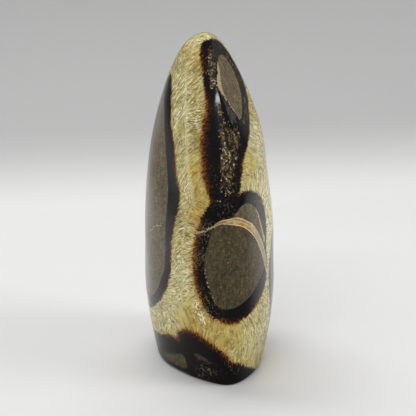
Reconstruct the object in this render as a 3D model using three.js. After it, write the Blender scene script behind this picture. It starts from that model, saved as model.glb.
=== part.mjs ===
// A septarian nodule, sawn flat at the foot and polished all over as one free-standing, flame-shaped
// stone. It is thin from side to side, deep from front to back, and has a blunt keel down its front.
// Millimetres, +Z up. X runs across the thin way and -Y is the keel side. The origin is on the sawn
// foot, under the middle of the stone's box.
import * as THREE from "three";

// Driving dimensions.
const HEIGHT = 136;
const TIP_LEAN = -1.6; // how far the tip stands towards -X of the foot
const FOOT_BEVEL = 1.4; // the polished round where the side meets the sawn foot

// Upright outlines, as half-widths: at the foot, and at the belly, the widest height. A larger
// shoulder number holds the width longer before the outline closes at the tip.
const SIDE = { foot: 21.4, belly: 26.6, bellyHeight: 38.5, shoulder: 2.13 };
const FRONT = { foot: 38, belly: 40, bellyHeight: 42, shoulder: 2.1 };
const BACK = { foot: 39.5, belly: 42, bellyHeight: 46, shoulder: 2.3 };

// Plan section: 0 is an ellipse's end, and larger numbers draw that end in towards a keel.
const KEEL_FRONT = 0.34;
const KEEL_BACK = 0.12;
const KEEL_OFFSET = 0.6; // the keel line stands this far towards +X at the belly

// Flats left by grinding. Each lies on the plane whose outward normal has this bearing round the
// stone, from -Y towards +X, and this rise above the horizon, in degrees, at reach from the origin.
// It runs into the round of the stone over blend.
const FLATS = [
  { bearing: 62, rise: 27, reach: 63.2, blend: 1.8 },
  { bearing: -48, rise: 34, reach: 81.6, blend: 3.0 },
  { bearing: 118, rise: 8, reach: 36.4, blend: 2.4 },
  { bearing: 205, rise: 30, reach: 79.1, blend: 3.0 },
];

// Slow hand-polishing waves: depth, waves round the girth, waves up the height and their start.
const WAVES = [
  { depth: 0.28, round: 3, up: 1.5, start: 0.6 },
  { depth: 0.2, round: 5, up: 2.5, start: 2.1 },
  { depth: 0.12, round: 8, up: 4, start: 4.4 },
];

// Mesh density.
const RINGS = 38;
const ROUND_STEPS = 76;
const BEVEL_RINGS = 3;

// Half-width of an upright outline at height z.
function halfWidth(z, { foot, belly, bellyHeight, shoulder }) {
  if (z < bellyHeight) {
    const below = (bellyHeight - z) / bellyHeight;
    return belly - (belly - foot) * below ** 2;
  }
  const above = (z - bellyHeight) / (HEIGHT - bellyHeight);
  return belly * Math.sqrt(Math.max(0, 1 - above ** shoulder));
}

// How far the foot's polished round has drawn the section in at height z.
function bevelInset(z) {
  if (z >= FOOT_BEVEL) return 0;
  return FOOT_BEVEL * (1 - Math.sqrt(1 - (1 - z / FOOT_BEVEL) ** 2));
}

// Outward swell of the polishing waves, fading out at the foot and the tip.
function waveSwell(turn, z) {
  const share = z / HEIGHT;
  const fade = Math.sin(Math.PI * share);
  return WAVES.reduce(
    (sum, { depth, round, up, start }) =>
      sum + depth * fade * Math.sin(round * turn + 2 * Math.PI * up * share + start),
    0,
  );
}

// Pushes a point that stands proud of a flat back onto it, and rounds the flat's edge.
function pressFlat(point, { bearing, rise, reach, blend }) {
  const turn = THREE.MathUtils.degToRad(bearing);
  const lift = THREE.MathUtils.degToRad(rise);
  const normal = new THREE.Vector3(
    Math.sin(turn) * Math.cos(lift),
    -Math.cos(turn) * Math.cos(lift),
    Math.sin(lift),
  );
  const proud = point.dot(normal) - reach;
  if (proud <= -blend) return;
  const push = proud >= blend ? proud : (proud + blend) ** 2 / (4 * blend);
  point.addScaledVector(normal, -push);
}

// The stone's surface at a turn round the plan section (0 is +X, 90 degrees is +Y) and height z.
function surfacePoint(turn, z) {
  const across = Math.cos(turn);
  const along = Math.sin(turn);
  const front = along < 0;
  const inset = bevelInset(z);
  const swell = waveSwell(turn, z);
  const side = Math.max(0, halfWidth(z, SIDE) - inset);
  const end = Math.max(0, halfWidth(z, front ? FRONT : BACK) - inset);
  const keel = front ? KEEL_FRONT : KEEL_BACK;
  const offset = front ? KEEL_OFFSET * (side / SIDE.belly) * along ** 2 : 0;
  const point = new THREE.Vector3(
    (side + swell) * across * (1 - keel * along ** 2) + offset + TIP_LEAN * (z / HEIGHT) ** 2,
    (end + swell) * along,
    z,
  );
  FLATS.forEach((flat) => pressFlat(point, flat));
  return point;
}

// Heights of the rings, closer together at the foot's round and towards the tip.
function ringHeights() {
  const bevel = Array.from({ length: BEVEL_RINGS }, (_, i) => {
    return FOOT_BEVEL * (1 - Math.cos((Math.PI / 2) * (i / BEVEL_RINGS)));
  });
  const sides = Array.from({ length: RINGS }, (_, i) => {
    const share = i / RINGS;
    const start = Math.asin(FOOT_BEVEL / HEIGHT);
    return HEIGHT * Math.sin(start + (Math.PI / 2 - start) * share);
  });
  return [...bevel, ...sides];
}

// One closed skin: rings of points from the foot up, closed by a fan at the foot and at the tip.
function stoneGeometry() {
  const heights = ringHeights();
  const points = heights.flatMap((z) =>
    Array.from({ length: ROUND_STEPS }, (_, i) => {
      return surfacePoint((2 * Math.PI * i) / ROUND_STEPS, z);
    }),
  );
  const footMiddle = points.push(new THREE.Vector3(0, 0, 0)) - 1;
  const tip = points.push(surfacePoint(0, HEIGHT)) - 1;
  const faces = [];
  for (let step = 0; step < ROUND_STEPS; step++) {
    const next = (step + 1) % ROUND_STEPS;
    faces.push(footMiddle, next, step);
    for (let ring = 0; ring + 1 < heights.length; ring++) {
      const low = ring * ROUND_STEPS;
      const high = low + ROUND_STEPS;
      faces.push(low + step, low + next, high + next);
      faces.push(low + step, high + next, high + step);
    }
    const last = (heights.length - 1) * ROUND_STEPS;
    faces.push(last + step, last + next, tip);
  }
  const geometry = new THREE.BufferGeometry().setFromPoints(points);
  geometry.setIndex(faces);
  geometry.computeBoundingBox();
  const middle = geometry.boundingBox.getCenter(new THREE.Vector3());
  geometry.translate(-middle.x, -middle.y, 0);
  geometry.computeVertexNormals();
  return geometry;
}

const polishedStone = new THREE.MeshStandardMaterial({
  color: new THREE.Color(0.52, 0.44, 0.26),
  roughness: 0.22,
  metalness: 0,
});

const nodule = new THREE.Mesh(stoneGeometry(), polishedStone);
nodule.name = "nodule";

const stone = new THREE.Group();
stone.add(nodule);

export default stone;
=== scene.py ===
"""A polished septarian nodule standing on a pale studio sweep.

The nodule is one stone, ground and polished to one skin. Brown-grey mudstone cores, each with a
near-black aragonite rim, lie in golden fibrous calcite, and a thin banded vein crosses one core.

Lengths are millimetres in the stone's own frame: +Z up, X across the thin way, -Y towards the
keel. They become metres where a mesh, a light or the camera is made.
"""

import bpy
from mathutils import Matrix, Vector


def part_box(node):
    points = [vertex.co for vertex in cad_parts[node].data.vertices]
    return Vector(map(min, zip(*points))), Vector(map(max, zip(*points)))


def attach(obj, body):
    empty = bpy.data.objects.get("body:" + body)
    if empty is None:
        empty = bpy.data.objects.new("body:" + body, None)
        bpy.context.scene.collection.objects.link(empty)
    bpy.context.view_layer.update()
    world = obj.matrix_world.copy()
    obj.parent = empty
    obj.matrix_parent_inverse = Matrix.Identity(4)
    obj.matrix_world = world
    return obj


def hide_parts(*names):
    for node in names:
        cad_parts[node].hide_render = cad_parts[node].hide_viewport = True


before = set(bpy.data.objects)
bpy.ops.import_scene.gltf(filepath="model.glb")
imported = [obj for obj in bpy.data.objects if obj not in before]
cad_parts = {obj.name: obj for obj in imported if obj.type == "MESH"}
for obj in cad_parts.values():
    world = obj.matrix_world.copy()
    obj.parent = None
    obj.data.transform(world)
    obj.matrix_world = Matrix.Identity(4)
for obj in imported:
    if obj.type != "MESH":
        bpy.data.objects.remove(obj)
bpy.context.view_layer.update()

import logging
import math
import random
from collections.abc import Sequence
from dataclasses import dataclass
from enum import Enum

import bmesh
import bpy
import numpy as np
from mathutils import Vector
from mathutils.bvhtree import BVHTree

log = logging.getLogger("nodule")

MM = 0.001  # metres in a millimetre
NODE = "nodule"
BODY = "root"
TINY = 1e-9  # stands in for a width or a length of nothing where one is divided by
SEED_STEP = (17.0, 29.0, 41.0)  # how far one step of its seed moves a noise

Array = np.ndarray
Point2 = tuple[float, float]
Colour = tuple[float, float, float, float]
Socket = bpy.types.NodeSocket

PURE_BLACK: Colour = (0.0, 0.0, 0.0, 1.0)
PURE_WHITE: Colour = (1.0, 1.0, 1.0, 1.0)


def linear(channel: int) -> float:
    """The linear value, from 0 to 1, of one 8-bit sRGB channel."""
    share = channel / 255
    return share / 12.92 if share <= 0.04045 else ((share + 0.055) / 1.055) ** 2.4


def srgb(red: int, green: int, blue: int) -> Colour:
    """A linear colour from its 8-bit sRGB values."""
    return (linear(red), linear(green), linear(blue), 1.0)


def ease(values: Array, low: float, high: float) -> Array:
    """A smooth step from 0 at low to 1 at high."""
    share = np.clip((values - low) / (high - low), 0, 1)
    return share * share * (3 - 2 * share)


def wander(points: Array, wavelength: float, start: float) -> Array:
    """A slow, smooth wandering value over space.

    Args:
        points: Places on the stone.
        wavelength: Typical distance between two crests.
        start: Where in its run the wandering starts, which makes one differ from another.

    Returns:
        A value from -1 to 1 for each point.
    """
    x, y, z = (points * (2 * math.pi / wavelength)).T
    waves = np.sin(x + 1.7 * np.sin(0.6 * z + start) + start)
    waves = waves + np.sin(y + 1.3 * np.sin(0.7 * x + 2 * start) + 2 * start)
    waves = waves + np.sin(z + 1.5 * np.sin(0.5 * y + 3 * start) + 3 * start)
    return waves / 3


# ---------------------------------------------------------------------------
# The form of the stone
# ---------------------------------------------------------------------------


@dataclass(frozen=True)
class Upright:
    """An upright outline of the stone, as half-widths. A larger shoulder holds the width longer."""

    foot: float
    belly: float
    belly_height: float
    shoulder: float

    def half_width(self, height: Array, top: float) -> Array:
        """The half-width at each height.

        Args:
            height: Heights above the foot.
            top: Height of the tip, where the outline closes.

        Returns:
            The half-widths, 0 at the tip.
        """
        below = (self.belly_height - height) / self.belly_height
        above = np.clip((height - self.belly_height) / (top - self.belly_height), 0, 1)
        lower = self.belly - (self.belly - self.foot) * below**2
        upper = self.belly * np.sqrt(1 - above**self.shoulder)
        return np.where(height < self.belly_height, lower, upper)


def aim(bearing: float, rise: float) -> Array:
    """Finds a direction.

    Args:
        bearing: Degrees round the stone; 0 is -Y and 90 is +X.
        rise: Degrees above the horizon.

    Returns:
        The unit direction.
    """
    turn, lift = math.radians(bearing), math.radians(rise)
    level = math.cos(lift)
    return np.array([math.sin(turn) * level, -math.cos(turn) * level, math.sin(lift)])


@dataclass(frozen=True)
class GroundFlat:
    """A flat left by grinding, on a plane at reach from the origin, run into the round by blend."""

    bearing: float
    rise: float
    reach: float
    blend: float

    def press(self, points: Array) -> Array:
        """Pushes what stands proud of the flat back onto it.

        Args:
            points: Places on the stone.

        Returns:
            The places after grinding.
        """
        normal = aim(self.bearing, self.rise)
        proud = points @ normal - self.reach
        eased = (np.clip(proud, -self.blend, self.blend) + self.blend) ** 2 / (4 * self.blend)
        push = np.where(proud >= self.blend, proud, eased)
        return points - push[:, None] * normal


@dataclass(frozen=True)
class PolishWave:
    """A slow wave that hand polishing leaves in the skin."""

    depth: float
    around: int
    up: float
    start: float

    def swell(self, turn: Array, share: Array) -> Array:
        """How far the skin swells, at a turn round the stone and a share of its height."""
        return self.depth * np.sin(self.around * turn + 2 * math.pi * self.up * share + self.start)


@dataclass(frozen=True)
class StoneForm:
    """The stone's skin as a formula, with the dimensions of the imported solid."""

    height: float
    side: Upright = Upright(21.4, 26.6, 38.5, 2.13)
    front: Upright = Upright(38.0, 40.0, 42.0, 2.1)
    back: Upright = Upright(39.5, 42.0, 46.0, 2.3)
    keel_front: float = 0.34
    keel_back: float = 0.12
    keel_offset: float = 0.6
    tip_lean: float = -1.6
    foot_bevel: float = 1.4
    flats: tuple[GroundFlat, ...] = (
        GroundFlat(62, 27, 63.2, 1.8),
        GroundFlat(-48, 34, 81.6, 3.0),
        GroundFlat(118, 8, 36.4, 2.4),
        GroundFlat(205, 30, 79.1, 3.0),
    )
    waves: tuple[PolishWave, ...] = (
        PolishWave(0.28, 3, 1.5, 0.6),
        PolishWave(0.2, 5, 2.5, 2.1),
        PolishWave(0.12, 8, 4, 4.4),
    )

    def skin(self, turn: Array, height: Array) -> Array:
        """The skin, before it is centred on its box.

        Args:
            turn: Turns round the plan section, in radians; 0 is +X.
            height: Heights above the foot.

        Returns:
            One place for each pair.
        """
        across, along = np.cos(turn), np.sin(turn)
        ahead = along < 0
        share = height / self.height
        dip = 1 - np.clip(height / self.foot_bevel, 0, 1)
        inset = self.foot_bevel * (1 - np.sqrt(1 - dip**2))
        swell = np.sin(math.pi * share) * sum(wave.swell(turn, share) for wave in self.waves)
        width = np.maximum(0, self.side.half_width(height, self.height) - inset)
        front, back = (end.half_width(height, self.height) for end in (self.front, self.back))
        depth = np.maximum(0, np.where(ahead, front, back) - inset)
        keel = np.where(ahead, self.keel_front, self.keel_back)
        offset = np.where(ahead, self.keel_offset * width / self.side.belly * along**2, 0)
        x = (width + swell) * across * (1 - keel * along**2) + offset + self.tip_lean * share**2
        points = np.stack([x, (depth + swell) * along, height], axis=-1)
        for flat in self.flats:
            points = flat.press(points)
        return points

    def run(self) -> tuple[Array, Array]:
        """Measures the skin from the foot to the tip.

        Returns:
            Heights from the foot to the tip, and how far along the skin each lies.
        """
        samples = 2000
        heights = self.height * np.sin(np.linspace(0, math.pi / 2, samples))
        bevel = self.foot_bevel - np.minimum(heights, self.foot_bevel)
        widths = self.side.half_width(heights, self.height) - bevel
        steps = np.hypot(np.diff(heights), np.diff(widths))
        return heights, np.concatenate([[0], np.cumsum(steps)])


# ---------------------------------------------------------------------------
# Lines drawn on the stone
# ---------------------------------------------------------------------------


# How squarely a place has to face a side, or the foot's side, for that side to show it. Some places
# that face a little away are let through, so that an outline can run over the edge of its side.
SHOWN_FROM = -0.15
SHOWN_BY_FOOT_FROM = 0.45


class Facing(Enum):
    """A side that lines are drawn from: its bearing round the stone from the keel, and its rise."""

    KEEL = (-12, 0)
    KEEL_RIGHT = (20, 0)
    KEEL_LEFT = (-45, 0)
    LEFT = (-75, 0)
    LEFT_BACK = (-130, 0)
    BACK = (180, 0)
    RIGHT_BACK = (140, 0)
    RIGHT = (80, 0)
    FOOT = (0, -90)

    @property
    def across(self) -> Array:
        """The unit direction to the right, as this side is looked at."""
        turn = math.radians(self.value[0])
        return np.array([math.cos(turn), math.sin(turn), 0.0])

    @property
    def towards(self) -> Array:
        """The unit direction out of this side."""
        return aim(*self.value)

    @property
    def up(self) -> Array:
        """The unit direction up, as this side is looked at."""
        return np.cross(self.towards, self.across)

    def flat(self, points: Array) -> Array:
        """Each point's distance across and up, as this side shows it."""
        return np.stack([points @ self.across, points @ self.up], axis=-1)

    def shows(self, normals: Array) -> Array:
        """Whether this side shows places with these normals."""
        least = SHOWN_BY_FOOT_FROM if self is Facing.FOOT else SHOWN_FROM
        return normals @ self.towards > least


def smooth_line(points: Sequence[Point2], closed: bool, step: float = 0.7) -> Array:
    """A smooth line through given points.

    Args:
        points: The points, in order.
        closed: Whether the line returns to its start.
        step: Longest distance between two points of the result.

    Returns:
        Points along the line, without its start repeated where it is closed.
    """
    given = np.array(points, float)
    if closed:
        padded = np.concatenate([given[-1:], given, given[:2]])
    else:
        padded = np.concatenate([2 * given[:1] - given[1:2], given, 2 * given[-1:] - given[-2:-1]])
    pieces = []
    for before, start, end, after in zip(padded, padded[1:], padded[2:], padded[3:]):
        count = max(1, math.ceil(np.linalg.norm(end - start) / step))
        t = (np.arange(count) / count)[:, None]
        bend = 2 * before - 5 * start + 4 * end - after
        twist = 3 * start - before - 3 * end + after
        pieces.append(start + 0.5 * t * ((end - before) + t * (bend + t * twist)))
    if not closed:
        pieces.append(given[-1:])
    return np.concatenate(pieces)


def holds(outline: Array, points: Array) -> Array:
    """Finds the points that lie inside a flat outline.

    Args:
        outline: The outline's points, in order, without its start repeated.
        points: Flat points to test.

    Returns:
        Whether the outline holds each of them.
    """
    inside = np.zeros(len(points), bool)
    x, y = points.T
    for (x0, y0), (x1, y1) in zip(outline, np.roll(outline, -1, axis=0)):
        if y0 != y1:
            inside ^= ((y0 > y) != (y1 > y)) & (x < x0 + (y - y0) / (y1 - y0) * (x1 - x0))
    return inside


@dataclass(frozen=True)
class Canvas:
    """The places on the stone that lines are drawn on and measured from."""

    points: Array
    normals: Array
    tree: BVHTree

    BATCH = 4000  # how many points are measured at once

    def lay(self, facing: Facing, line: Array) -> Array:
        """Lays a drawn line on the stone.

        Args:
            facing: The side that the line is drawn from.
            line: Its points across and up.

        Returns:
            The points in space, without those that miss the stone or lie where this side
            doesn't show it.
        """
        far = 200.0
        hits = []
        for u, v in line:
            start = facing.across * u + facing.up * v + facing.towards * far
            place, normal, _, _ = self.tree.ray_cast(Vector(start), Vector(-facing.towards), 2 * far)
            if place is not None and facing.shows(np.array(normal)):
                hits.append(tuple(place))
        return np.array(hits)

    def nearest(self, line: Array, closed: bool, reach: float) -> tuple[Array, Array, Array]:
        """Finds the nearest place on a line for each of the canvas's points.

        Args:
            line: The line's points in space.
            closed: Whether the line returns to its start.
            reach: How far from the line it still matters.

        Returns:
            The distances (reach where the line is farther than that), the nearest places, and how
            far along the line those are, from 0 to 1.
        """
        count = len(self.points)
        distance = np.full(count, reach)
        place = np.zeros((count, 3))
        run = np.zeros(count)
        low, high = line.min(0) - reach, line.max(0) + reach
        near = np.flatnonzero(((self.points > low) & (self.points < high)).all(1))
        last = len(line) - 1
        ahead = np.roll(line, -1, axis=0) if closed else line[np.minimum(np.arange(last + 1) + 1, last)]
        for some in np.array_split(near, max(1, len(near) // self.BATCH)):
            points = self.points[some]
            best = ((points[:, None] - line[None]) ** 2).sum(2).argmin(1)
            before = (best - 1) % (last + 1) if closed else np.maximum(best - 1, 0)
            least = np.full(len(some), np.inf)
            for first in (before, best):
                side = ahead[first] - line[first]
                length = np.maximum((side**2).sum(1), TINY)
                share = np.clip(((points - line[first]) * side).sum(1) / length, 0, 1)
                foot = line[first] + side * share[:, None]
                gap = np.linalg.norm(points - foot, axis=1)
                closer = gap < least
                least = np.where(closer, gap, least)
                place[some[closer]] = foot[closer]
                run[some[closer]] = (first[closer] + share[closer]) / (last + 1)
            distance[some] = np.minimum(least, reach)
        return distance, place, run


@dataclass(frozen=True)
class Patch:
    """A closed patch drawn on one side of the stone."""

    facing: Facing
    points: tuple[Point2, ...]

    def measure(self, canvas: Canvas, reach: float = 24.0) -> tuple[Array, Array]:
        """Measures the canvas's points from the patch's edge.

        Args:
            canvas: The places to measure.
            reach: How far from the edge it still matters.

        Returns:
            The distance of each point from the edge, below 0 inside, and the nearest place on
            the edge.
        """
        drawn = smooth_line(self.points, closed=True)
        distance, place, _ = canvas.nearest(canvas.lay(self.facing, drawn), True, reach)
        inside = self.facing.shows(canvas.normals) & holds(drawn, self.facing.flat(canvas.points))
        return np.where(inside, -distance, distance), place


@dataclass(frozen=True)
class Spot:
    """A soft round area on one side of the stone."""

    facing: Facing
    middle: Point2
    radius: float
    strength: float = 1.0

    SEEN = (-0.1, 0.3)  # how squarely places face the side where the spot starts and is full
    FULL = 0.2  # share of the radius within which the spot is full

    def weight(self, canvas: Canvas) -> Array:
        """Weighs the spot over the stone.

        Args:
            canvas: The places to weigh it at.

        Returns:
            How strongly the spot is felt at each of them.
        """
        gap = np.linalg.norm(self.facing.flat(canvas.points) - np.array(self.middle), axis=1)
        seen = ease(canvas.normals @ self.facing.towards, *self.SEEN)
        return self.strength * seen * ease(-gap, -self.radius, -self.FULL * self.radius)


# ---------------------------------------------------------------------------
# The minerals of the stone
# ---------------------------------------------------------------------------


@dataclass(frozen=True)
class Rim:
    """A near-black aragonite rim, drawn as the patch that it and its core fill together.

    The calcite fibres that grow from it lean, and are golden (above 0) or cool and pale (below 0).
    """

    patch: Patch
    lean: float
    warmth: float


@dataclass(frozen=True)
class Core:
    """A mudstone core. One that has a rim width carries its own rim of about that width."""

    patch: Patch
    rim_width: float = 0.0
    lean: float = 0.4
    warmth: float = 0.1
    tone: float = 1.0  # how light its mudstone is
    softness: float = 0.1  # how far its edge fades into the rim


@dataclass(frozen=True)
class Vein:
    """A vein or a pale line, with its half-width at its start, along it and at its end."""

    facing: Facing
    points: tuple[Point2, ...]
    half_widths: tuple[float, float, float]
    amber_end: float = 1.0  # how far along it the orange bands run, from 0 to 1

    REACH = 12.0  # how far from it it still matters
    TAPER = 0.22  # share of its length over which each end narrows
    WAVER = 0.12  # share of its width by which that wavers
    WAVER_LENGTH = 9.0
    AMBER_FADE = 0.02  # share of its length over which the orange bands end

    def measure(self, canvas: Canvas) -> tuple[Array, Array, Array]:
        """Measures the canvas's points from the vein.

        Args:
            canvas: The places to measure.

        Returns:
            Each point's distance from the vein's side, below 0 inside, its place across the vein,
            from 0 at the middle to 1 at the side, and whether orange bands run there.
        """
        line = canvas.lay(self.facing, smooth_line(self.points, closed=False))
        distance, _, run = canvas.nearest(line, False, self.REACH)
        start, along, end = self.half_widths
        half = np.interp(run, (0, self.TAPER, 1 - self.TAPER, 1), (start, along, along, end))
        half = half * (1 + self.WAVER * wander(canvas.points, self.WAVER_LENGTH, start))
        amber = ease(self.amber_end - run, -self.AMBER_FADE, self.AMBER_FADE)
        return distance - half, distance / np.maximum(half, TINY), amber


CREST_RIM = (
    (-6.6, 133.2), (-3, 134.4), (3, 132.6), (8.6, 127.4), (12.4, 120.5), (13.2, 112.6), (9.6, 105.8),
    (4.6, 100.3), (0, 95.6), (-4, 91), (-5.6, 86), (-7.6, 81), (-10, 76), (-17.6, 74.6),
    (-19.5, 81), (-19.5, 88), (-18.6, 97), (-16.8, 105.5), (-15.1, 110.5), (-13.7, 116.5),
    (-11.3, 123.3), (-9.6, 128.4),
)  # fmt: skip
CREST_CORE = (
    (-1.5, 127.8), (1.7, 127.8), (4.3, 126), (6.8, 123), (8.1, 118.7), (7.7, 114), (6.1, 110.3),
    (2.3, 106.6), (-1, 105), (-4.1, 108.9), (-6, 112.3), (-8.7, 117.2), (-8.7, 119.8),
    (-7.3, 122.4), (-4.4, 125.6),
)  # fmt: skip
HEART_RIM = (
    (-17.7, 77), (-20, 71.5), (-21.3, 66), (-22.2, 60.5), (-23.2, 52), (-23.2, 44), (-22.2, 37),
    (-20.1, 30.2), (-17.8, 27.7), (-13.5, 26.2), (-8.1, 27.3), (-2.7, 29.5), (2.6, 33), (6.4, 36.8),
    (8.6, 42.5), (8.6, 48.5), (8.2, 54), (9.3, 60), (8.3, 68), (5.3, 73.8), (1.7, 76.8), (-4, 78.9),
    (-9, 78.2), (-13, 77.2),
)  # fmt: skip
HEART_CORE_LOWER = (
    (-18.4, 65), (-19.5, 59), (-20.4, 53.5), (-20.7, 48.5), (-20.2, 43.5), (-18.9, 36.6),
    (-17.5, 33.9), (-14.5, 32.8), (-10.2, 33.8), (-4, 36.6), (2.3, 40.8), (6.2, 43.8), (7, 47),
    (5.4, 52), (0, 58.8), (-6, 65), (-12, 67.5), (-16, 67),
)  # fmt: skip
HEART_CORE_UPPER = (
    (-12.4, 69), (-10.2, 71.7), (-8, 73.5), (-5, 73.9), (-1.5, 72.7), (1.2, 70.5), (3.3, 67),
    (5.3, 63.8), (6.7, 60), (7.4, 56), (7.2, 50.5), (3.5, 57.5), (-1.5, 64), (-6, 67),
)  # fmt: skip
LEFT_RIM = (
    (-2, 120.3), (3.8, 115.5), (6, 111), (9.7, 102.2), (11.7, 98.2), (13.9, 94), (15.5, 87.8),
    (17.2, 81.4), (19.3, 76.6), (19.4, 72), (18.7, 66), (17.6, 57.5), (17, 45), (15.4, 39),
    (12.4, 33.6), (8, 28.9), (2.5, 25.1), (-4, 22.6), (-11, 23), (-16.5, 28), (-20, 38), (-21.5, 54),
    (-20.6, 71), (-17.3, 88), (-13, 102), (-8.5, 114),
)  # fmt: skip
LEFT_CORE = (
    (-4.8, 111), (0.9, 106.5), (5.8, 96.5), (9, 88.3), (12, 78.5), (12.9, 72), (13.2, 64),
    (13.2, 46.5), (11.2, 41), (8.1, 35.6), (4.1, 31.4), (-1.5, 28.6), (-8, 29), (-12.6, 33.5),
    (-15, 43), (-15.9, 56), (-15.1, 70), (-12.4, 86), (-9.2, 100), (-7.3, 107.5),
)  # fmt: skip
FOOT_RIM_LEFT = (
    (9.6, 10), (5.6, 15.2), (2.1, 16.5), (-2.6, 15.7), (-9.5, 13.6), (-17, 12.6), (-23, 9.5),
    (-27, 4), (-28, -6), (16, -6), (14, 3),
)  # fmt: skip
FOOT_RIM_RIGHT = (
    (-12.3, 18), (-10, 20.8), (-7.2, 21.8), (-4.6, 21.2), (-2.2, 20), (0.7, 18.3), (3.5, 16.6),
    (6.3, 14.8), (8.6, 12.2), (9.6, 10.5), (12, 9.6), (15, 6.7), (18.4, 2.8), (21, -4), (0, -7),
    (-18, -6), (-17, 3), (-13, 9.6),
)  # fmt: skip
FOOT_CORE = (
    (-19, 4.4), (-17.2, 6.2), (-14.9, 7.6), (-11.6, 8.9), (-9.7, 8.5), (-8.9, 6.4), (-8.8, 3.5),
    (-11.5, 2.7), (-14.5, 2.7), (-17.5, 2.8),
)  # fmt: skip
FOOT_SLIVER = ((-6, 11.2), (-4.4, 11.8), (-2, 11.2), (0.6, 9.3), (-2, 9.4), (-4.4, 10))
RIGHT_CORE_LOW = (
    (-10.4, 23), (-12.6, 30), (-14.6, 37), (-15, 44), (-11, 50.5), (-3, 55), (6, 57.5), (13, 54),
    (21.5, 52.5), (26.4, 45), (24, 34), (25, 25), (18, 17.5), (10, 17.5), (3, 14.6), (-5.4, 17),
)  # fmt: skip
RIGHT_CORE_HIGH = (
    (8.4, 79), (13, 73.5), (20, 72), (26.5, 76), (29, 84), (27.5, 94), (22.5, 103), (15.5, 110.5),
    (11, 110), (9.2, 103), (10.4, 94.5), (7.2, 86.5),
)  # fmt: skip
BACK_CORE_LOW = (
    (-13.6, 47), (-12.6, 58), (-14.4, 68.5), (-8, 79.5), (-1, 78), (6.2, 75), (8.2, 64),
    (4.4, 54), (3.6, 43), (-5.5, 38.5), (-11, 41),
)  # fmt: skip
BACK_CORE_HIGH = (
    (-3.4, 99), (-5.4, 107), (-3.4, 115), (-2.4, 123.5), (2.6, 122), (7.2, 113), (5.2, 104.5),
    (3.6, 97),
)  # fmt: skip
LEFT_BACK_CORE_LOW = (
    (-18.5, 9.5), (-21, 20), (-16.5, 30), (-14, 38.5), (-5, 36), (1, 29.5), (-2.5, 19),
    (-4.5, 9), (-12, 7.5),
)  # fmt: skip
LEFT_BACK_CORE_HIGH = (
    (-15.5, 60.5), (-19.8, 72), (-17, 84), (-17.6, 93.5), (-11, 99.5), (-8, 90), (-10.6, 79),
    (-8.8, 68),
)  # fmt: skip
RIGHT_BACK_CORE = ((-12, -5), (-13.5, 5), (-9, 13), (0, 16.5), (9, 13), (13, 5), (12, -5))
UNDERSIDE_RIM = (
    (-30, -17), (-12, -10), (-1, 0), (8, 12), (19, 23), (16, 42), (-8, 48), (-30, 30),
)  # fmt: skip
UNDERSIDE_CORE = ((-24, 10), (-17, 14), (-13.5, 21), (-14, 30), (-20, 36), (-30, 24))
UNDERSIDE_BACK = ((25, -10), (13, -13), (6.5, -21), (6, -32), (10, -44), (32, -30))

RIMS = (
    Rim(Patch(Facing.KEEL_RIGHT, CREST_RIM), lean=0.55, warmth=0.4),
    Rim(Patch(Facing.KEEL_RIGHT, HEART_RIM), lean=0.25, warmth=0.25),
    Rim(Patch(Facing.LEFT, LEFT_RIM), lean=1.1, warmth=-0.5),
    Rim(Patch(Facing.KEEL_LEFT, FOOT_RIM_LEFT), lean=-0.2, warmth=0.1),
    Rim(Patch(Facing.KEEL, FOOT_RIM_RIGHT), lean=0.3, warmth=0.35),
    Rim(Patch(Facing.FOOT, UNDERSIDE_RIM), lean=0.2, warmth=0.2),
)
CORES = (
    Core(Patch(Facing.KEEL_RIGHT, CREST_CORE), tone=1.36),
    Core(Patch(Facing.KEEL_RIGHT, HEART_CORE_LOWER), tone=0.75),
    Core(Patch(Facing.KEEL_RIGHT, HEART_CORE_UPPER), tone=1.1),
    Core(Patch(Facing.LEFT, LEFT_CORE)),
    Core(Patch(Facing.KEEL, FOOT_CORE), tone=0.72, softness=0.9),
    Core(Patch(Facing.KEEL, FOOT_SLIVER), tone=0.5, softness=0.4),
    Core(Patch(Facing.FOOT, UNDERSIDE_CORE)),
    Core(Patch(Facing.RIGHT, RIGHT_CORE_LOW), rim_width=5.2),
    Core(Patch(Facing.RIGHT, RIGHT_CORE_HIGH), rim_width=4.4),
    Core(Patch(Facing.BACK, BACK_CORE_LOW), rim_width=5.0),
    Core(Patch(Facing.BACK, BACK_CORE_HIGH), rim_width=3.6),
    Core(Patch(Facing.LEFT_BACK, LEFT_BACK_CORE_LOW), rim_width=4.6),
    Core(Patch(Facing.LEFT_BACK, LEFT_BACK_CORE_HIGH), rim_width=4.2),
    Core(Patch(Facing.RIGHT_BACK, RIGHT_BACK_CORE), rim_width=4.6),
    Core(Patch(Facing.FOOT, UNDERSIDE_BACK), rim_width=4.0),
)
HEART_VEIN = (
    (-18.7, 65.4), (-17.4, 67), (-16.1, 67.9), (-13.9, 68.2), (-10.7, 68), (-7.8, 67), (-4.4, 65),
    (-1.6, 62.6), (1.2, 59.4), (3.9, 55), (6, 50.5), (7.2, 46.5), (8, 42.6),
)  # fmt: skip
VEINS = (
    Vein(Facing.KEEL_RIGHT, HEART_VEIN, (0.2, 1.6, 0.3), amber_end=0.52),
    Vein(
        Facing.RIGHT,
        ((-9.5, 42), (-3, 40.5), (4, 37), (10, 35.5), (17, 31), (26.5, 28.5)),
        (0.3, 0.9, 0.4),
    ),
    Vein(Facing.BACK, ((-15, 63), (-8, 60), (-1, 60.5), (8.5, 55)), (0.3, 0.6, 0.3)),
)
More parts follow.
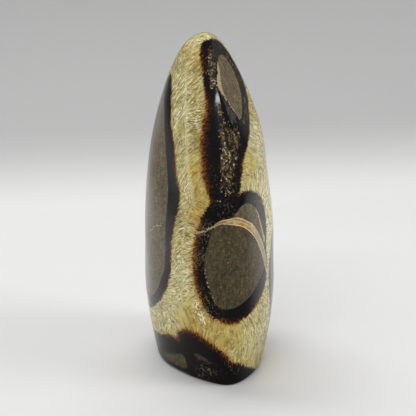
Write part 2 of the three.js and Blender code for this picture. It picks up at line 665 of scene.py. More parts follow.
PALE_LINES = (
    Vein(
        Facing.KEEL_RIGHT,
        ((-4.4, 125.8), (-6.3, 123), (-8, 120.4), (-8.8, 118), (-8.3, 115.8)),
        (0.4, 1.0, 0.3),
    ),
    Vein(
        Facing.KEEL_RIGHT,
        ((-8.3, 115.8), (-5.8, 111.6), (-3.8, 108.2), (-1.8, 105.4)),
        (0.1, 0.2, 0.3),
    ),
    Vein(
        Facing.KEEL_RIGHT,
        ((-21.9, 62), (-20.3, 63.6), (-19.1, 65), (-18.2, 65.8)),
        (0.35, 0.3, 0.25),
    ),
    Vein(Facing.KEEL_RIGHT, ((-20.6, 30.9), (-19.4, 29.6), (-18.1, 28.2), (-16.5, 27.2)), (0, 0.12, 0)),
    Vein(Facing.KEEL_RIGHT, ((1.2, 70.3), (3.1, 66.6), (5.1, 61.6), (6.8, 56.3)), (0.1, 0.45, 1.0)),
    Vein(Facing.KEEL, ((-11.5, 71), (-9.4, 70.8), (-7.6, 71.4)), (0.1, 0.2, 0.1)),
    Vein(Facing.KEEL_RIGHT, ((-19, 75.6), (-17.3, 76), (-15, 76.1), (-13.4, 76.6)), (-0.1, -0.04, -0.1)),
    Vein(Facing.KEEL_RIGHT, ((-20.7, 50), (-20.5, 45), (-19.3, 38), (-17.8, 34.4)), (0.0, 0.12, 0.05)),
    Vein(Facing.LEFT, ((0.7, 56.8), (7.3, 61), (11.7, 61.2)), (0.04, 0.1, 0.04)),
    Vein(Facing.BACK, ((-4, 101), (-5.6, 109), (-4.6, 117)), (0.1, 0.5, 0.1)),
    Vein(Facing.RIGHT, ((9.4, 79), (8, 90), (9.8, 102)), (0.1, 0.4, 0.1)),
)
STAINS = (
    Spot(Facing.KEEL, (-8, 83), 11, 0.5),
    Spot(Facing.KEEL, (-3.2, 72), 12, 0.4),
    Spot(Facing.KEEL, (-6, 96), 13, 0.6),
    Spot(Facing.KEEL, (-3, 27), 14, 1.0),
    Spot(Facing.KEEL, (5, 22), 12, 0.8),
    Spot(Facing.KEEL_RIGHT, (3, 92), 8, 0.4),
    Spot(Facing.RIGHT, (-5, 66), 14, 0.6),
    Spot(Facing.BACK, (8, 88), 18, 0.7),
    Spot(Facing.LEFT_BACK, (-5, 50), 16, 0.6),
)
COOL_AREAS = (
    Spot(Facing.KEEL_LEFT, (3, 104), 24, 0.5),
    Spot(Facing.KEEL_LEFT, (-4, 24), 14, 0.5),
    Spot(Facing.RIGHT, (-4, 12), 14, 0.6),
    Spot(Facing.RIGHT, (-15, 100), 16, 0.5),
    Spot(Facing.BACK, (-12, 92), 18, 0.7),
)
# Milky calcite and painted light: these spots lighten the calcite, partly for milky crystal and partly
# as painted light on the tip, the lower front and the right side.
MILKY_AND_LIT_AREAS = (
    Spot(Facing.KEEL, (-2, 137), 15, 2.2),
    Spot(Facing.KEEL, (-5.5, 117), 8, 0.8),
    Spot(Facing.KEEL, (-15.4, 97), 8, 0.9),
    Spot(Facing.KEEL, (-8, 90), 6, 0.4),
    Spot(Facing.KEEL, (-15, 46), 12, 1.5),
    Spot(Facing.KEEL, (-12, 36), 9, 0.8),
    Spot(Facing.KEEL, (-18, 24), 14, 0.6),
    Spot(Facing.RIGHT, (-20, 62), 30, 1.3),
    Spot(Facing.RIGHT, (-17, 98), 18, 1.1),
    Spot(Facing.RIGHT, (-27, 18), 18, 0.8),
    Spot(Facing.LEFT_BACK, (8, 66), 22, 0.8),
)
# Clear calcite and painted shade: these spots darken the calcite, partly for clear crystal and partly as
# painted shade on the upper part.
CLEAR_AND_SHADED_AREAS = (
    Spot(Facing.KEEL_LEFT, (8, 100), 26, 0.35),
    Spot(Facing.KEEL, (-11, 120), 15, 2.2),
    Spot(Facing.KEEL, (-8.6, 105), 9, 0.8),
    Spot(Facing.KEEL, (-4.7, 94), 9, 0.4),
    Spot(Facing.KEEL, (-12.5, 66), 8, 0.9),
    Spot(Facing.BACK, (10, 92), 18, 0.7),
    Spot(Facing.RIGHT, (12, 118), 14, 0.6),
)
# Painted glints with white chips: small white spots that stand for light glinting off the calcite's
# crystals.
GLINTS_AND_CHIPS = (
    Spot(Facing.KEEL, (-4.9, 33.5), 3, 0.9),
    Spot(Facing.KEEL, (-3.6, 29.5), 3.4, 1.0),
    Spot(Facing.KEEL, (-2, 26.4), 2.4, 0.8),
    Spot(Facing.BACK, (-12, 84), 7, 0.8),
)
RUSTY_FRINGES = (
    Spot(Facing.KEEL_RIGHT, (-10, 128), 8, 0.55),
    Spot(Facing.KEEL_RIGHT, (-16, 112), 9, 0.7),
    Spot(Facing.KEEL_RIGHT, (-18, 101), 12, 1.0),
    Spot(Facing.KEEL_RIGHT, (-19, 86), 13, 1.0),
    Spot(Facing.KEEL_RIGHT, (-20, 63), 8, 1.0),
    Spot(Facing.KEEL_RIGHT, (-21.5, 52), 10, 1.0),
    Spot(Facing.KEEL_RIGHT, (-21, 40), 9, 0.8),
    Spot(Facing.KEEL_RIGHT, (-14, 27), 10, 0.7),
    Spot(Facing.KEEL_RIGHT, (1, 32), 9, 0.5),
    Spot(Facing.KEEL_RIGHT, (-3, 88), 8, 0.5),
    Spot(Facing.KEEL, (-15, 15), 7, 0.6),
    Spot(Facing.KEEL, (-9, 21), 9, 0.7),
    Spot(Facing.KEEL, (-1, 19), 8, 0.7),
    Spot(Facing.KEEL, (7, 13), 10, 0.7),
    Spot(Facing.RIGHT, (4, 62), 14, 0.8),
    Spot(Facing.BACK, (4, 84), 14, 0.8),
    Spot(Facing.LEFT_BACK, (-14, 58), 12, 0.8),
)
FLECKED_RIMS = (
    Spot(Facing.KEEL_RIGHT, (-21, 64), 7, 0.9),
    Spot(Facing.KEEL_RIGHT, (-22, 53), 8, 1.0),
    Spot(Facing.KEEL_RIGHT, (-21, 36), 9, 0.8),
    Spot(Facing.KEEL_RIGHT, (-13, 84), 9, 0.35),
    Spot(Facing.KEEL_RIGHT, (4, 73), 7, 1.0),
    Spot(Facing.KEEL_RIGHT, (-14, 72), 6, 0.6),
    Spot(Facing.KEEL_RIGHT, (11, 114), 10, 0.5),
    Spot(Facing.KEEL, (-1, 5.5), 7, 0.7),
    Spot(Facing.KEEL, (10, 8), 6, 0.4),
    Spot(Facing.RIGHT, (-10, 34), 10, 0.6),
    Spot(Facing.BACK, (-12, 52), 12, 0.7),
)
WHITE_SEAMS = (
    Spot(Facing.KEEL_LEFT, (6, 112), 22, 1.2),
    Spot(Facing.KEEL_LEFT, (4, 84), 22, 1.2),
    Spot(Facing.KEEL_LEFT, (2, 62), 16, 1.0),
    Spot(Facing.RIGHT, (-4, 70), 16, 0.9),
    Spot(Facing.BACK, (-14, 60), 20, 0.9),
)
CRUSTS = (
    Patch(
        Facing.KEEL_RIGHT,
        (
            (-5.6, 132.3), (-4.8, 130.5), (-6.4, 127), (-8.2, 123.6), (-9.8, 119.6), (-10.8, 117.6),
            (-11.6, 118), (-10.6, 122), (-9, 126.4), (-7.2, 130.2),
        ),
    ),
    Patch(
        Facing.KEEL_RIGHT,
        ((2.6, 130.2), (5, 128.8), (8, 125.6), (10.8, 121.4), (10, 120.8), (7.2, 124.4), (4.4, 127.6)),
    ),
    Patch(
        Facing.KEEL_RIGHT,
        (
            (9.6, 110.5), (8.6, 107), (5.4, 104.2), (1.2, 102.6), (0.6, 103.8), (4.4, 105.6),
            (7.4, 108.6), (8.6, 111),
        ),
    ),
    Patch(
        Facing.KEEL_RIGHT,
        (
            (-11.3, 111.7), (-11, 107.6), (-9, 103.6), (-5.4, 102.6), (-4.8, 98.7), (-6.6, 94.5),
            (-8.6, 89.9), (-10.4, 84.4), (-12.4, 78.6), (-14.6, 79.4), (-14.9, 85), (-14.6, 91),
            (-13.4, 96), (-13.2, 101.1), (-12.2, 106),
        ),
    ),
)  # fmt: skip
HOLLOW = Patch(
    Facing.KEEL_RIGHT,
    (
        (-9.3, 118), (-8.1, 116.5), (-6.4, 113), (-4.7, 109.4), (-3.2, 106), (-4.3, 104.4),
        (-7.6, 104.4), (-8.6, 107.9), (-9, 111.2), (-9.4, 114.5),
    ),
)  # fmt: skip


class Field(Enum):
    """What the mesh tells its materials at each of its points. Distances are in millimetres."""

    CORE = "core_edge"  # from the nearest core's edge, below 0 inside
    TONE = "core_tone"  # how light the nearest core's mudstone is
    SOFT = "core_softness"  # how far the nearest core's edge fades into its rim
    RIM = "rim_edge"  # from the nearest rim's outer edge, below 0 inside
    VEIN = "vein_edge"  # from the nearest vein's side, below 0 inside
    BAND = "vein_band"  # across a vein, from 0 at its middle to 1 at its side
    AMBER = "vein_amber"  # whether orange bands run in the vein, from 0 to 1
    LINE = "pale_line"  # from the nearest pale line's side, below 0 inside
    SEAM = "seam"  # from the seam where the fibres of two rims meet
    ROOT = "fibre_root"  # the place on a rim that a fibre grows from
    LEAN = "fibre_lean"  # how far the fibres lean from straight out
    WARMTH = "warmth"  # golden stain in the calcite above 0, cool pale cast below 0
    MILK_AND_LIGHT = "milk_and_light"  # milky calcite and painted light above 0, clear calcite and painted shade below 0
    GLINT_AND_CHIP = "glint_and_chip"  # painted glints and small white chips in the calcite, from 0 to 1
    RUST = "rust"  # how wide a rim's rusty fringe is, from 0 to 1
    FLECK = "fleck"  # how many pale flecks a rim holds, from 0 to 1
    CRUST = "crust"  # open, granular crust in a rim, from 0 to 1
    HOLLOW = "hollow"  # the hollow beside the crest core, from 0 to 1: cut into the skin, and painted grey there as a painted reflection


class MineralMap:
    """Which mineral lies where on the stone's skin."""

    FAR = 30.0
    SEAM_FADE = 4.0  # how far a seam seems outside the areas where it is white
    RIM_WAVER = 0.2  # share of a rim's width by which that wavers
    RIM_WAVER_LENGTH = 24.0
    CRUST_EDGE = 1.4  # how far a crust thins out on either side of its outline
    HOLLOW_EDGE = (-0.3, 0.6)  # how far inside its outline the hollow starts and is full

    def __init__(self, canvas: Canvas) -> None:
        """Takes the places that the map is worked out for."""
        self.canvas = canvas
        self.count = len(canvas.points)

    def cores_and_rims(self) -> dict[Field, Array]:
        """Measures every core and rim, and finds the rim that each fibre grows from.

        Returns:
            The fields of the cores, the rims and the fibres.
        """
        core_edge = np.full(self.count, self.FAR)
        tone, softness = np.ones((2, self.count))
        rims = []
        for core in CORES:
            distance, place = core.patch.measure(self.canvas)
            tone[distance < core_edge] = core.tone
            softness[distance < core_edge] = core.softness
            core_edge = np.minimum(core_edge, distance)
            if core.rim_width:
                waver = self.RIM_WAVER * wander(place, self.RIM_WAVER_LENGTH, core.rim_width)
                rims.append((distance - core.rim_width * (1 + waver), place, core))
        for rim in RIMS:
            rims.append((*rim.patch.measure(self.canvas), rim))
        first, second = np.full((2, self.count), self.FAR)
        root = np.zeros((self.count, 3))
        lean, warmth = np.zeros((2, self.count))
        for distance, place, source in rims:
            closer = distance < first
            second = np.where(closer, first, np.minimum(second, distance))
            first = np.where(closer, distance, first)
            root[closer] = place[closer]
            lean[closer] = source.lean
            warmth[closer] = source.warmth
        warmth += self.spread(STAINS) - self.spread(COOL_AREAS)
        seam = (second - first) / 2 + self.SEAM_FADE * (1 - self.spread(WHITE_SEAMS))
        return {
            Field.CORE: core_edge,
            Field.TONE: tone,
            Field.SOFT: softness,
            Field.RIM: first,
            Field.ROOT: root,
            Field.LEAN: lean,
            Field.WARMTH: warmth,
            Field.SEAM: seam,
        }

    def veins(self) -> dict[Field, Array]:
        """Measures the veins from their sides and across their bands, and the pale lines.

        Returns:
            The fields of the veins and of the pale lines.
        """
        edge, band, line = np.full((3, self.count), self.FAR)
        amber = np.zeros(self.count)
        for vein in VEINS:
            distance, across, orange = vein.measure(self.canvas)
            band = np.where(distance < edge, across, band)
            amber = np.where(distance < edge, orange, amber)
            edge = np.minimum(edge, distance)
        for pale in PALE_LINES:
            line = np.minimum(line, pale.measure(self.canvas)[0])
        return {Field.VEIN: edge, Field.BAND: band, Field.AMBER: amber, Field.LINE: line}

    def spread(self, spots: Sequence[Spot]) -> Array:
        """How strongly some spots are felt together, from 0 to 1."""
        return np.clip(sum(spot.weight(self.canvas) for spot in spots), 0, 1)

    def crust(self) -> Array:
        """How strongly each place lies in a crust, from 0 to 1."""
        depths = [-patch.measure(self.canvas)[0] for patch in CRUSTS]
        return ease(np.max(depths, axis=0), -self.CRUST_EDGE, self.CRUST_EDGE)

    def fields(self) -> dict[Field, Array]:
        """Works out everything that the materials need to know.

        Returns:
            One value of each field for each place.
        """
        casts = {
            Field.MILK_AND_LIGHT: self.spread(MILKY_AND_LIT_AREAS) - self.spread(CLEAR_AND_SHADED_AREAS),
            Field.GLINT_AND_CHIP: self.spread(GLINTS_AND_CHIPS),
            Field.RUST: self.spread(RUSTY_FRINGES),
            Field.FLECK: self.spread(FLECKED_RIMS),
            Field.CRUST: self.crust(),
            Field.HOLLOW: ease(-HOLLOW.measure(self.canvas)[0], *self.HOLLOW_EDGE),
        }
        return self.cores_and_rims() | self.veins() | casts


# ---------------------------------------------------------------------------
# Node trees
# ---------------------------------------------------------------------------


class Graph:
    """Adds nodes to a node tree and links them."""

    def __init__(self, tree: bpy.types.NodeTree) -> None:
        """Takes the tree to add to."""
        self.tree = tree

    def add(self, kind: str, **settings: object) -> bpy.types.Node:
        """Adds one node.

        Args:
            kind: Its type.
            settings: Its properties, by name.

        Returns:
            The node.
        """
        node = self.tree.nodes.new(kind)
        for name, value in settings.items():
            setattr(node, name, value)
        return node

    def feed(self, socket: Socket, value: object) -> None:
        """Links a socket to another, or sets its own value.

        Args:
            socket: An input.
            value: An output that feeds it, or the value that it holds.
        """
        if isinstance(value, Socket):
            self.tree.links.new(value, socket)
        else:
            socket.default_value = value

    def math(self, operation: str, *values: object) -> Socket:
        """Adds one sum on numbers.

        Args:
            operation: Which sum.
            values: What it takes, in order.

        Returns:
            The result.
        """
        node = self.add("ShaderNodeMath", operation=operation)
        for socket, value in zip(node.inputs, values):
            self.feed(socket, value)
        return node.outputs[0]

    def add_up(self, *values: object) -> Socket:
        """Adds several numbers up.

        Args:
            values: The numbers.

        Returns:
            Their sum.
        """
        total = values[0]
        for value in values[1:]:
            total = self.math("ADD", total, value)
        return total

    def times(self, *values: object) -> Socket:
        """Multiplies several numbers.

        Args:
            values: The numbers.

        Returns:
            Their product.
        """
        product = values[0]
        for value in values[1:]:
            product = self.math("MULTIPLY", product, value)
        return product

    def sway(self, value: object, amount: object) -> Socket:
        """A number that swings by amount about 0 as value goes from 0 to 1."""
        return self.math("MULTIPLY", self.math("SUBTRACT", value, 0.5), amount)

    def vector(self, operation: str, *values: object, scale: object = None) -> Socket:
        """Adds one sum on vectors.

        Args:
            operation: Which sum.
            values: What it takes, in order.
            scale: The number that SCALE multiplies by.

        Returns:
            The resulting vector.
        """
        node = self.add("ShaderNodeVectorMath", operation=operation)
        for socket, value in zip(node.inputs, values):
            self.feed(socket, value)
        if scale is not None:
            self.feed(node.inputs["Scale"], scale)
        return node.outputs["Vector"]

    def step(self, value: object, low: object, high: object) -> Socket:
        """Adds a smooth step.

        Args:
            value: What it follows.
            low: The value where the step is 0.
            high: The value where the step is 1, which may be below low.

        Returns:
            A number from 0 to 1.
        """
        node = self.add("ShaderNodeMapRange", interpolation_type="SMOOTHSTEP")
        for name, number in (("Value", value), ("From Min", low), ("From Max", high)):
            self.feed(node.inputs[name], number)
        return node.outputs["Result"]

    def mix(self, share: object, first: object, second: object) -> Socket:
        """Mixes two colours.

        Args:
            share: How much of the second, from 0 to 1.
            first: One colour.
            second: The other.

        Returns:
            The mixed colour.
        """
        node = self.add("ShaderNodeMix", data_type="RGBA")
        sockets = {socket.identifier: socket for socket in node.inputs}
        self.feed(sockets["Factor_Float"], share)
        self.feed(sockets["A_Color"], first)
        self.feed(sockets["B_Color"], second)
        return node.outputs[2]

    def laid(self, colour: object, layers: Sequence[tuple[Socket, object, Colour]]) -> Socket:
        """Lays colours on another, one after the other.

        Args:
            colour: What they are laid on.
            layers: Where each one lies, from 0 to 1, how strong it is there, and its colour.

        Returns:
            The colour that they make together.
        """
        for share, strength, layer in layers:
            colour = self.mix(self.times(share, strength), colour, layer)
        return colour

    def between(self, share: object, first: object, second: object) -> Socket:
        """Mixes two numbers.

        Args:
            share: How much of the second, from 0 to 1.
            first: One number.
            second: The other.

        Returns:
            The mixed number.
        """
        node = self.add("ShaderNodeMix", data_type="FLOAT")
        for socket, value in zip(node.inputs[0:1] + node.inputs[2:4], (share, first, second)):
            self.feed(socket, value)
        return node.outputs[0]

    def noise(self, place: Socket, size: object, detail: float = 2.0, rough: float = 0.5) -> Socket:
        """A soft noise from 0 to 1.

        Args:
            place: Where it is read, in millimetres.
            size: About how wide its lumps are.
            detail: How many finer noises are laid on it.
            rough: How strong each of those is beside the one before.

        Returns:
            The noise.
        """
        node = self.add("ShaderNodeTexNoise")
        node.inputs["Detail"].default_value = detail
        node.inputs["Roughness"].default_value = rough
        self.feed(node.inputs["Vector"], place)
        self.feed(node.inputs["Scale"], self.math("DIVIDE", 1.0, size))
        return node.outputs["Fac"]

    def bend(self, place: Socket, size: float) -> Socket:
        """Adds a small vector that wanders about 0.

        Args:
            place: Where it is read, in millimetres.
            size: About how wide its lumps are.

        Returns:
            The vector.
        """
        node = self.add("ShaderNodeTexNoise")
        node.inputs["Detail"].default_value = 1.0
        node.inputs["Scale"].default_value = 1 / size
        self.feed(node.inputs["Vector"], place)
        return self.vector("SUBTRACT", node.outputs["Color"], (0.5, 0.5, 0.5))

    def ragged(self, place: Socket, size: float, amount: float) -> Socket:
        """The place pushed about by half of amount at most, in lumps about as wide as size."""
        return self.vector("ADD", place, self.vector("SCALE", self.bend(place, size), scale=amount))

    def cells(self, place: Socket, size: object, feature: str = "F1") -> bpy.types.Node:
        """Adds a pattern of cells.

        Args:
            place: Where it is read, in millimetres.
            size: About how wide its cells are.
            feature: What its distance is measured from.

        Returns:
            The pattern's node.
        """
        node = self.add("ShaderNodeTexVoronoi", feature=feature)
        self.feed(node.inputs["Vector"], place)
        self.feed(node.inputs["Scale"], self.math("DIVIDE", 1.0, size))
        return node

    def cell_middles(self, place: Socket, size: object) -> Socket:
        """The distance from the nearest middle of a cell, in widths of a cell."""
        return self.cells(place, size).outputs["Distance"]

    def cell_sides(self, place: Socket, size: object) -> Socket:
        """The distance from the nearest side of a cell, in widths of a cell."""
        return self.cells(place, size, "DISTANCE_TO_EDGE").outputs["Distance"]

    def chances(self, place: Socket, size: object) -> tuple[Socket, Socket]:
        """Draws random numbers for the cells of a pattern.

        Args:
            place: Where it is read, in millimetres.
            size: About how wide its cells are.

        Returns:
            Two numbers from 0 to 1, each the same all over a cell.
        """
        apart = self.add("ShaderNodeSeparateColor")
        self.feed(apart.inputs["Color"], self.cells(place, size).outputs["Color"])
        return apart.outputs["Red"], apart.outputs["Green"]

    def axes(self, vector: Socket) -> tuple[Socket, ...]:
        """Takes a vector apart.

        Args:
            vector: The vector.

        Returns:
            Its three numbers.
        """
        apart = self.add("ShaderNodeSeparateXYZ")
        self.feed(apart.inputs["Vector"], vector)
        return tuple(apart.outputs)

    def field(self, name: Field) -> Socket:
        """One of the values that the mesh holds."""
        node = self.add("ShaderNodeAttribute", attribute_name=name.value)
        return node.outputs["Vector" if name is Field.ROOT else "Fac"]

    def place(self) -> Socket:
        """The place on the stone, in millimetres."""
        object_place = self.add("ShaderNodeTexCoord").outputs["Object"]
        return self.vector("SCALE", object_place, scale=1 / MM)

    def shifted(self, place: Socket, seed: object) -> Socket:
        """The same place moved by a seed, so that one noise differs from another."""
        return self.vector("ADD", place, self.vector("SCALE", SEED_STEP, scale=seed))


class Effect:
    """A shader node group with named sockets, built once and placed wherever it is needed."""

    NAME = ""
    INPUTS: dict[str, float] = {}
    OUTPUTS: dict[str, str] = {}

    def wire(self, graph: Graph, given: Sequence[Socket]) -> Sequence[Socket]:
        """Builds the effect's nodes.

        Args:
            graph: The group's graph.
            given: The group's inputs, in the order of INPUTS.

        Returns:
            What the group puts out, in the order of OUTPUTS.
        """
        raise NotImplementedError

    def tree(self) -> bpy.types.NodeTree:
        """Finds the effect's node tree, or makes it the first time.

        Returns:
            The tree.
        """
        found = bpy.data.node_groups.get(self.NAME)
        if found is not None:
            return found
        tree = bpy.data.node_groups.new(self.NAME, "ShaderNodeTree")
        for name, value in self.INPUTS.items():
            socket = tree.interface.new_socket(name, in_out="INPUT", socket_type="NodeSocketFloat")
            socket.default_value = value
        for name, kind in self.OUTPUTS.items():
            tree.interface.new_socket(name, in_out="OUTPUT", socket_type="NodeSocket" + kind)
        graph = Graph(tree)
        inputs = graph.add("NodeGroupInput").outputs
        result = graph.add("NodeGroupOutput").inputs
        for socket, value in zip(result, self.wire(graph, [inputs[name] for name in self.INPUTS])):
            graph.feed(socket, value)
        return tree

    def place_in(self, graph: Graph, **values: object) -> list[Socket]:
        """Places the effect in a graph.

        Args:
            graph: Where it goes.
            values: Its inputs by name, in lower case and with _ for a space.

        Returns:
            Its outputs, in the order of OUTPUTS.
        """
        node = graph.add("ShaderNodeGroup", node_tree=self.tree())
        for name in self.INPUTS:
            key = name.lower().replace(" ", "_")
            if key in values:
                graph.feed(node.inputs[name], values[key])
        return [node.outputs[name] for name in self.OUTPUTS]


class FibreGrain(Effect):
    """Grain drawn out along the fibres that grow from the rims."""

    NAME = "Fibre grain"
    INPUTS = {"Width": 0.4, "Squeeze": 0.16, "Extra Lean": 0.0, "Swirl": 0.6, "Seed": 0.0}
    OUTPUTS = {"Grain": "Float", "Blade": "Float"}
    SWIRL_SIZE = 3.3  # how wide the swirls are that bend the fibres
    BLADE_WIDTH = 2.6  # how many widths of grain lie across a blade

    def wire(self, graph: Graph, given: Sequence[Socket]) -> Sequence[Socket]:
        """Reads noise and cells where length along a fibre counts for less than width across it.

        Args:
            graph: The group's graph.
            given: The group's inputs, in the order of INPUTS.

        Returns:
            The grain, and a random number for each blade.
        """
        width, squeeze, extra_lean, swirl, seed = given
        place, root = graph.place(), graph.field(Field.ROOT)
        out = graph.vector("SUBTRACT", place, root)
        normal = graph.add("ShaderNodeTexCoord").outputs["Normal"]
        side = graph.vector("CROSS_PRODUCT", normal, out)
        lean = graph.add_up(graph.field(Field.LEAN), extra_lean)
        start = graph.vector("SUBTRACT", root, graph.vector("SCALE", side, scale=lean))
        line = graph.vector("ADD", start, graph.vector("SCALE", out, scale=squeeze))
        swirled = graph.vector("SCALE", graph.bend(place, self.SWIRL_SIZE), scale=swirl)
        line = graph.shifted(graph.vector("ADD", line, swirled), seed)
        grain = graph.noise(line, width, detail=2.0, rough=0.55)
        return grain, graph.chances(line, graph.times(width, self.BLADE_WIDTH))[0]

    def grain(self, graph: Graph, **values: float) -> Socket:
        """Places the effect in a graph for its grain alone."""
        return self.place_in(graph, **values)[0]


class Speckle(Effect):
    """Fine, even speckle and slow mottling, as in compact mudstone."""

    NAME = "Speckle"
    INPUTS = {"Grain Size": 0.3, "Mottle Size": 5.0}
    OUTPUTS = {"Speck": "Float", "Mottle": "Float"}

    def wire(self, graph: Graph, given: Sequence[Socket]) -> Sequence[Socket]:
        """Lays a fine noise and a slow one side by side.

        Args:
            graph: The group's graph.
            given: The group's inputs, in the order of INPUTS.

        Returns:
            The fine noise and the slow one.
        """
        grain_size, mottle_size = given
        place = graph.place()
        return graph.noise(place, grain_size, 2.0, 0.6), graph.noise(place, mottle_size, 3.0, 0.6)


class Calcite(Effect):
    """Fibrous calcite: translucent blades under pale strokes, whitest where two growths meet."""

    NAME = "Calcite"
    OUTPUTS = {"Colour": "Color", "Height": "Float"}
    BODY = srgb(190, 166, 64)
    GOLD = srgb(206, 168, 78)
    COOL = srgb(172, 168, 98)
    OLIVE = srgb(134, 116, 52)
    DEEP = srgb(98, 72, 24)
    GAP = srgb(66, 52, 26)
    PALE = srgb(224, 210, 122)
    # the pale of milky calcite, laid also as painted light
    MILK_AND_LIGHT = srgb(238, 230, 172)
    WHITE = srgb(252, 246, 208)
    BLOCK = 5.0  # width of a crystal
    GLINT_AND_CHIP_WIDTH = 0.62
    GLINT_AND_CHIP_SHARE = 0.42  # how many of the places for painted glints and white chips hold one

    def wire(self, graph: Graph, given: Sequence[Socket]) -> Sequence[Socket]:
        """Tints the body in patches and crystals, then lays streaks, wool and the seam on it.

        Args:
            graph: The group's graph.
            given: Not used; the group has no inputs.

        Returns:
            The colour and the height of the grain.
        """
        place = graph.place()
        fibres = FibreGrain()
        streak = fibres.grain(graph, width=1.0, squeeze=0.12, swirl=0.5, seed=1.0)
        line = fibres.grain(graph, width=0.5, squeeze=0.1, swirl=0.4, seed=4.0)
        grain = fibres.grain(graph, width=0.32, squeeze=0.28, seed=3.0)
        wool, lump = fibres.place_in(
            graph, width=0.4, squeeze=0.2, extra_lean=-0.25, swirl=0.7, seed=2.0
        )
        slow = graph.noise(place, 6.0, 2.0, 0.5)
        patch = graph.noise(graph.shifted(place, 1.0), 2.8, 3.0, 0.6)
        small = graph.noise(graph.shifted(place, 4.0), 1.2, 2.0, 0.5)
        warped = graph.ragged(place, 3.0, 1.4)
        block = graph.chances(warped, self.BLOCK)[0]
        side = graph.step(graph.cell_sides(warped, self.BLOCK), 0.04, 0.01)
        warmth = graph.add_up(graph.field(Field.WARMTH), graph.sway(slow, 1.8), 0.08)
        milk_and_light = graph.add_up(graph.field(Field.MILK_AND_LIGHT), graph.sway(patch, 0.8))
        seam = graph.add_up(graph.field(Field.SEAM), graph.sway(small, 1.6))
        clear = graph.step(warmth, 0.9, 0.3)
        frost = graph.times(graph.between(graph.step(slow, 0.46, 0.54), 0.35, 1.0), clear)
        calm = graph.between(graph.step(warmth, 0.3, 0.9), 1.0, 0.35)
        combed = graph.times(graph.step(slow, 0.58, 0.46), calm)
        layers = (
            (graph.step(warmth, 0.0, 0.9), 1.0, self.GOLD),
            (graph.step(warmth, 0.0, -0.9), 1.0, self.COOL),
            # milky calcite and painted light above 0; clear calcite and painted shade, as olive, below 0
            (graph.step(milk_and_light, 0.0, 0.9), 0.9, self.MILK_AND_LIGHT),
            (graph.step(milk_and_light, 0.0, -1.0), 0.8, self.OLIVE),
            (graph.step(block, 0.6, 1.0), 0.45, self.PALE),
            (graph.times(graph.step(block, 0.4, 0.0), calm), 0.6, self.OLIVE),
            (graph.step(patch, 0.5, 0.6), 0.5, self.OLIVE),
            (graph.step(patch, 0.46, 0.36), 0.5, self.PALE),
            (graph.step(streak, 0.48, 0.36), 0.42, self.DEEP),
            (graph.step(streak, 0.52, 0.64), 0.5, self.PALE),
            (graph.times(graph.step(line, 0.47, 0.4), combed), 0.5, self.DEEP),
            (graph.times(graph.step(line, 0.54, 0.61), combed), 0.65, self.WHITE),
            (graph.step(lump, 0.6, 1.0), 0.3, self.PALE),
            (graph.step(lump, 0.4, 0.0), 0.3, self.OLIVE),
            (graph.times(graph.step(grain, 0.47, 0.38), calm), 0.5, self.DEEP),
            (graph.times(graph.step(grain, 0.53, 0.62), calm), 0.55, self.PALE),
            (graph.step(seam, 2.6, 0.0), 0.25, self.PALE),
            (graph.times(side, graph.step(small, 0.46, 0.6)), 0.35, self.WHITE),
            (graph.times(graph.step(wool, 0.46, 0.41), frost), 0.5, self.DEEP),
            (graph.times(graph.step(wool, 0.53, 0.57), frost), 1.0, self.WHITE),
            (graph.times(graph.step(line, 0.34, 0.28), graph.step(milk_and_light, 0.6, 0.1)), 0.8, self.GAP),
            (graph.times(graph.step(seam, 2.2, 0.2), graph.step(grain, 0.47, 0.56)), 0.6, self.WHITE),
            (graph.times(graph.step(seam, 0.3, 0.0), graph.step(patch, 0.46, 0.56)), 0.6, self.WHITE),
            # painted glints and white chips
            (self.glint_and_chip(graph, place), 0.95, self.WHITE),
        )
        return graph.laid(self.BODY, layers), graph.times(graph.add_up(streak, wool), 0.5)

    def glint_and_chip(self, graph: Graph, place: Socket) -> Socket:
        """Scatters painted glints and small white chips where the mesh says that they are.

        Args:
            graph: The group's graph.
            place: The place on the stone, in millimetres.

        Returns:
            Where they are, from 0 to 1.
        """
        chance = graph.chances(graph.shifted(place, 6.0), self.GLINT_AND_CHIP_WIDTH)[0]
        share = graph.times(graph.field(Field.GLINT_AND_CHIP), self.GLINT_AND_CHIP_SHARE)
        return graph.step(graph.math("SUBTRACT", share, chance), 0.0, 0.08)


class Crust(Effect):
    """Open crust of tiny crystals: tan and white grains, the white partly painted glints, with black
    gaps between them.
    """

    NAME = "Crust"
    OUTPUTS = {"Colour": "Color", "Cover": "Float"}
    GRAIN = 0.44  # width of a grain
    TAN = srgb(164, 132, 78)
    BROWN = srgb(98, 64, 28)
    WHITE = srgb(236, 226, 190)

    def wire(self, graph: Graph, given: Sequence[Socket]) -> Sequence[Socket]:
        """Gives each grain its own tint, and leaves out about half of the grains.

        Args:
            graph: The group's graph.
            given: Not used; the group has no inputs.

        Returns:
            The colour, and how far it covers what lies below.
        """
        place = graph.place()
        ragged = graph.ragged(place, 0.5, 0.5)
        chance, tint = graph.chances(ragged, self.GRAIN)
        colour = graph.mix(graph.step(tint, 0.25, 0.45), self.BROWN, self.TAN)
        # white grains: crystals, partly painted as glints
        colour = graph.mix(graph.step(tint, 0.8, 0.88), colour, self.WHITE)
        grain = graph.step(graph.cell_middles(ragged, self.GRAIN), 0.8, 0.45)
        uneven = graph.add_up(0.44, graph.sway(graph.noise(place, 1.6), 3.4))
        density = graph.times(graph.field(Field.CRUST), uneven)
        cover = graph.step(graph.math("SUBTRACT", density, chance), 0.0, 0.05)
        return colour, graph.times(cover, grain)


